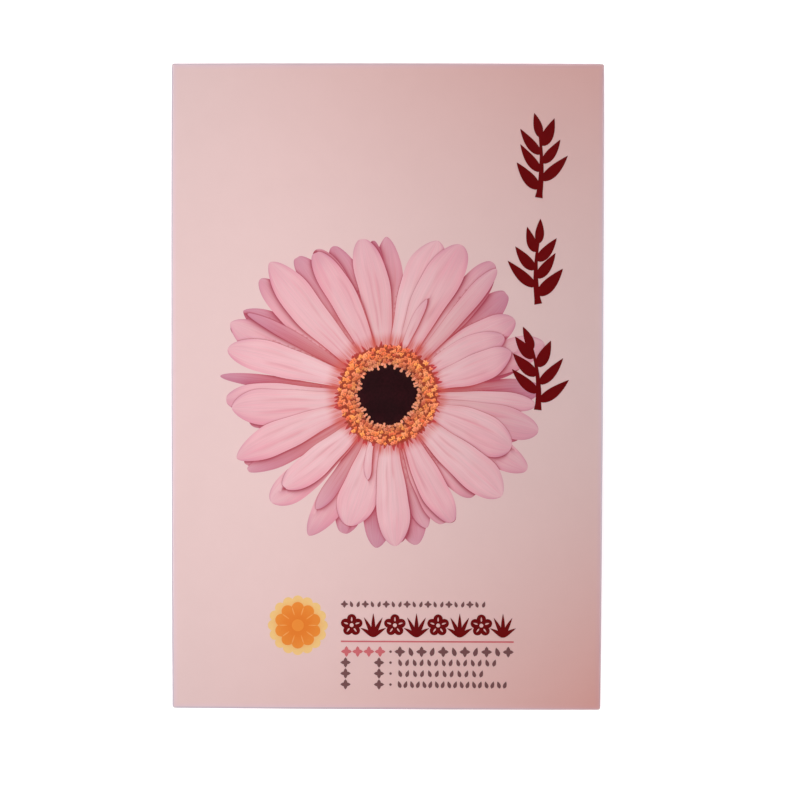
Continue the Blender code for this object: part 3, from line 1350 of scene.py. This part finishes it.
def rosette(x, y, radius):
    """Five petals with a slit in each and an open middle."""
    shapes = lobes(x, y, radius, ROSETTE_LOBES, "ink", math.radians(90))
    shapes += rays(x, y, radius, SLIT_LENGTH, radius * SLIT_WIDTH, 90, ROSETTE_LOBES, None)
    return shapes + [Shape(circle(x, y, radius * OPEN_MIDDLE, steps=12), None)]


def fan(x, y, height):
    """A fan of five leaves that curve outwards from one foot."""
    foot = Vector((x, y - height / 2))
    shapes = []
    for i in (-2, -1, 0, 1, 2):
        length = height * (1.0 - FAN_SHORTER * i * i)
        angle = math.radians(90 + i * FAN_ANGLE)
        shapes.append(leaf(foot, angle, length, i * FAN_BEND * height, height * FAN_WIDTH))
    return shapes


class GIFTBOX_OT_rosettes(bpy.types.Operator):
    """Print the row of rosettes and fans"""

    bl_idname = "gift_box.rosettes"
    bl_label = "Rosettes"

    def execute(self, context):
        look = context.scene.gift_box_ornaments
        pitch = (look.row_right - look.row_left) / look.rosettes
        shapes = []
        for i in range(look.rosettes):
            x = look.row_left + (i + 0.5) * pitch
            if i % 2 == 0:
                shapes += rosette(x, look.rosette_y, look.rosette_height * ROSETTE_SHARE)
            else:
                shapes += fan(x, look.rosette_y, look.rosette_height)
        ink = plain_ink("rosette ink", look.dark_red, DARK_DEPTH, DARK_GLOSS)
        lay("rosettes", overlay(shapes), "ink", ink, ORNAMENT_LIFT)
        return {"FINISHED"}


# The rows of small marks. Each starts with a few marks and a dot, and the rest of it follows
RULE_HALF = 0.4 * MM  # half the rule's thickness
ROWS = 4
ROW_DROP = 5.2  # the first row's distance from the rule, in millimetres
ROW_PITCH = 5.65  # in millimetres too
TOP_ROW = (4, 11)  # how many marks the topmost row starts with, and how many its rest has
TOP_MARK = 4.6 * MM
START_WIDTH = 22 * MM
START_PITCH = 4.8 * MM
START_MARK = 4.4 * MM
DOT_GAP = 3 * MM  # how far before the rest the dot stands
DOT_SIZE = 3.4 * MM
REST_START = 28.5 * MM
REST_MARK = 3.7 * MM
LOWER_ROWS = ((57.3 * MM, 14), (50.7 * MM, 12), (62.5 * MM, 18))  # the rest's right end, and its marks
UPPER_RISE = 10.8 * MM
UPPER_ROW = (75 * MM, 21, 3.2 * MM)  # width, marks and their size in the row above the rosettes
OVERHANG = 1 * MM  # how much wider the topmost row is set at its start and its rest
LEAVES = ("left", "right")

# The forms of the marks, as shares of their size
DOT_RADIUS = 0.2
QUATREFOIL_PETAL = (0.6, 0.22)  # length and half width
MARK_LEAF = (1.04, 0.26)  # the same of a leaf
MARK_FOOT = 0.16  # how far beside the mark's middle the leaf's foot is
MARK_LEAN = 18  # in degrees


def small_mark(x, y, size, kind):
    """A mark of the fine rows: a quatrefoil, a leaf that leans left or right, or a dot."""
    if kind == "dot":
        return [Shape(circle(x, y, size * DOT_RADIUS, steps=10), "ink")]
    if kind == "quatrefoil":
        length, half_width = QUATREFOIL_PETAL
        width = leaf_width(size * half_width)
        turns = [math.radians(90 * i) for i in range(4)]
        return [Shape(blade((x, y), turn, size * length, 0.0, width, steps=6), "ink") for turn in turns]
    length, half_width = MARK_LEAF
    side = 1 if kind == "left" else -1
    foot = (x + side * size * MARK_FOOT, y - size / 2)
    angle = math.radians(90 + side * MARK_LEAN)
    width = leaf_width(size * half_width)
    return [Shape(blade(foot, angle, size * length, 0.0, width, steps=8), "ink")]


def fine_row(left, right, y, count, size, kinds=("quatrefoil",)):
    """Marks spread evenly from left to right, in turn of each kind."""
    pitch = (right - left) / count
    places = [left + (i + 0.5) * pitch for i in range(count)]
    marks = [small_mark(x, y, size, kinds[i % len(kinds)]) for i, x in enumerate(places)]
    return [shape for mark in marks for shape in mark]


class GIFTBOX_OT_small_marks(bpy.types.Operator):
    """Print the thin rule and the rows of small marks"""

    bl_idname = "gift_box.small_marks"
    bl_label = "Rule and small marks"

    def execute(self, context):
        look = context.scene.gift_box_ornaments
        left, right = look.row_left, look.row_right
        low, high = look.rule_y - RULE_HALF, look.rule_y + RULE_HALF
        rule = Shape([(left, low), (right, low), (right, high), (left, high)], "ink")
        rows = [look.rule_y - (ROW_DROP + ROW_PITCH * i) * MM for i in range(ROWS)]
        start_end = left + START_WIDTH
        rest = left + REST_START
        few, many = TOP_ROW
        red = [rule] + fine_row(left, start_end + OVERHANG, rows[0], few, TOP_MARK)
        ink = plain_ink("light red ink", look.light_red)
        lay("rule", overlay(red), "ink", ink, ORNAMENT_LIFT)

        width, count, size = UPPER_ROW
        upper_y = look.rosette_y + UPPER_RISE
        grey = fine_row(left, left + width, upper_y, count, size, ("quatrefoil", *LEAVES))
        mixed = ("quatrefoil", "left", "quatrefoil", "right")
        grey += fine_row(rest - OVERHANG, right, rows[0], many, TOP_MARK, mixed)
        for y, (end, count) in zip(rows[1:], LOWER_ROWS):
            grey += fine_row(left, left + START_PITCH, y, 1, START_MARK)
            grey += fine_row(start_end - START_PITCH, start_end, y, 1, START_MARK)
            grey += fine_row(rest, end, y, count, REST_MARK, LEAVES)
        for y in rows:
            grey += small_mark(rest - DOT_GAP, y, DOT_SIZE, "dot")
        ink = plain_ink("maroon grey ink", look.grey)
        lay("small_marks", overlay(grey), "ink", ink, ORNAMENT_LIFT)
        return {"FINISHED"}


# The stage
BOX_LIGHT_SIZE = 0.8
BOX_LIGHT_RADIUS = 0.95  # how far from the middle of the table the soft boxes stand
BOX_LIGHT_HEIGHT = 0.75
KEY_X = -0.07  # where on the lid the key lamps point
KEY_LAMPS = 5
KEY_PITCH = 0.08
KEY_DISTANCE = 2.0
KEY_TILT = math.radians(35)
KEY_CONE = math.radians(8.8)
KEY_RADIUS = 0.1
FLOOR_REACH = 12.0
FLOOR_WHITE = (0.86, 0.86, 0.86)
FLOOR_GRAIN = 40.0
FLOOR_RISE = 0.3 * MM  # the floor hides the last of the tray's rounded foot and isn't in one plane with it
LAMPS_FADE = (0.5, 1.8)  # how far from the middle the lamps' light on the floor fades
CONTACT = 5 * MM  # how far round the box the floor's own glow is held back, so that its foot has a shadow
HORIZON = (0.1, 0.35)  # the heights, as a sine, between which the surroundings turn dim
SENSOR_WIDTH = 36.0  # in millimetres, like the lens


def floor_material(glow):
    """A pale floor that glows more where the lamps no longer reach, and not close beside the box."""
    paint = new_paint("pale floor")
    place = paint.place()
    grain = paint.noise(place, FLOOR_GRAIN, detail=2.0)
    x, y, _ = paint.parts(place)
    far = ((x * x + y * y) ** 0.5).between(*LAMPS_FADE)
    beside = (abs(x) - FACE_WIDTH / 2).most(abs(y) - FACE_LENGTH / 2).between(0.0, CONTACT)
    light = beside * glow + far * (1.0 - glow)
    paint.set(Base_Color=paint.scaled(FLOOR_WHITE, 0.99 + grain * 0.02))
    paint.set(Roughness=0.9, Emission_Color=paint.joined(light, light, light), Emission_Strength=1.0)
    return paint.owner


def light_world(sky):
    """Dim surroundings that turn white towards the horizon, where the floor ends."""
    world = bpy.data.worlds.new("pale room")
    paint = Paint(world, "Background")
    _, _, up = paint.parts(paint.node("ShaderNodeTexCoord", output="Generated"))
    paint.set(Color=(1.0, 1.0, 1.0), Strength=1.0 - up.between(*HORIZON) * (1.0 - sky))
    return world


def hang(name, lamp, place, target):
    """Hangs a lamp at a place, turned towards its target."""
    light = placed(name, lamp)
    light.location = place
    light.rotation_mode = "QUATERNION"
    light.rotation_quaternion = (Vector(target) - Vector(place)).to_track_quat("-Z", "Y")


def soft_boxes(power):
    """Four soft boxes round the table, low enough that the lid doesn't mirror them upwards."""
    for name, turn in (("right box", 0), ("far box", 90), ("left box", 180), ("near box", 270)):
        lamp = bpy.data.lights.new(name, "AREA")
        lamp.shape = "DISK"
        lamp.size = BOX_LIGHT_SIZE
        lamp.energy = power
        x = BOX_LIGHT_RADIUS * math.cos(math.radians(turn))
        y = BOX_LIGHT_RADIUS * math.sin(math.radians(turn))
        hang(name, lamp, (x, y, BOX_LIGHT_HEIGHT), (0.0, 0.0, LID_HIGH.z))


def key_lamps(power):
    """A row of lamps at the left, whose soft cones fade out over the lid's right side."""
    back = Vector((-math.sin(KEY_TILT), 0.0, math.cos(KEY_TILT))) * KEY_DISTANCE
    for i in range(KEY_LAMPS):
        lamp = bpy.data.lights.new("key", "SPOT")
        lamp.energy = power
        lamp.spot_size = KEY_CONE
        lamp.spot_blend = 1.0
        lamp.shadow_soft_size = KEY_RADIUS
        target = Vector((KEY_X, (i - (KEY_LAMPS - 1) / 2) * KEY_PITCH, LID_HIGH.z))
        hang("key", lamp, target + back, target)


def floor_sheet():
    """A wide square on which the box lies."""
    shape = bmesh.new()
    bmesh.ops.create_grid(shape, x_segments=1, y_segments=1, size=FLOOR_REACH)
    bmesh.ops.translate(shape, vec=(0.0, 0.0, FLOOR_RISE), verts=shape.verts)
    return to_mesh("floor", shape)


class GIFTBOX_OT_stage(bpy.types.Operator):
    """Add the camera, the light and the floor"""

    bl_idname = "gift_box.stage"
    bl_label = "Stage"

    def execute(self, context):
        look = context.scene.gift_box_stage
        scene = context.scene
        camera = placed("camera", bpy.data.cameras.new("camera"))
        camera.data.lens = look.lens
        camera.data.sensor_width = SENSOR_WIDTH
        camera.location = look.camera_place
        camera.rotation_euler = look.camera_turn
        scene.camera = camera
        floor = placed("floor", floor_sheet())
        floor.data.materials.append(floor_material(look.floor_glow))
        soft_boxes(look.box_power)
        key_lamps(look.key_power)
        scene.world = light_world(look.sky)
        scene.view_settings.view_transform = "Standard"
        return {"FINISHED"}


# The sidebar


class GIFTBOX_PT_sidebar(bpy.types.Panel):
    """Lists the looks and the steps that make them"""

    bl_label = "Gift box"
    bl_idname = "GIFTBOX_PT_sidebar"
    bl_space_type = "VIEW_3D"
    bl_region_type = "UI"
    bl_category = "Gift box"

    def draw(self, context):
        for group in GROUPS:
            box = self.layout.box()
            look = getattr(context.scene, group)
            for name in look.bl_rna.properties.keys():
                if name not in ("rna_type", "name"):
                    box.prop(look, name)
        for operator in OPERATORS:
            self.layout.operator(operator.bl_idname)


GROUPS = {
    "gift_box_board": GiftBoxBoard,
    "gift_box_daisy": GiftBoxDaisy,
    "gift_box_ornaments": GiftBoxOrnaments,
    "gift_box_stage": GiftBoxStage,
}
OPERATORS = (
    GIFTBOX_OT_lid,
    GIFTBOX_OT_tray,
    GIFTBOX_OT_petals,
    GIFTBOX_OT_heart,
    GIFTBOX_OT_sprays,
    GIFTBOX_OT_blossom,
    GIFTBOX_OT_rosettes,
    GIFTBOX_OT_small_marks,
    GIFTBOX_OT_stage,
)


def register():
    for kind in (*GROUPS.values(), *OPERATORS, GIFTBOX_PT_sidebar):
        bpy.utils.register_class(kind)
    for name, kind in GROUPS.items():
        setattr(bpy.types.Scene, name, bpy.props.PointerProperty(type=kind))


def unregister():
    for name in GROUPS:
        delattr(bpy.types.Scene, name)
    for kind in reversed((*GROUPS.values(), *OPERATORS, GIFTBOX_PT_sidebar)):
        bpy.utils.unregister_class(kind)


def main():
    register()
    bpy.ops.gift_box.lid()
    bpy.ops.gift_box.tray()
    bpy.ops.gift_box.petals()
    bpy.ops.gift_box.heart()
    bpy.ops.gift_box.sprays()
    bpy.ops.gift_box.blossom()
    bpy.ops.gift_box.rosettes()
    bpy.ops.gift_box.small_marks()
    bpy.ops.gift_box.stage()


if __name__ == "__main__":
    main()
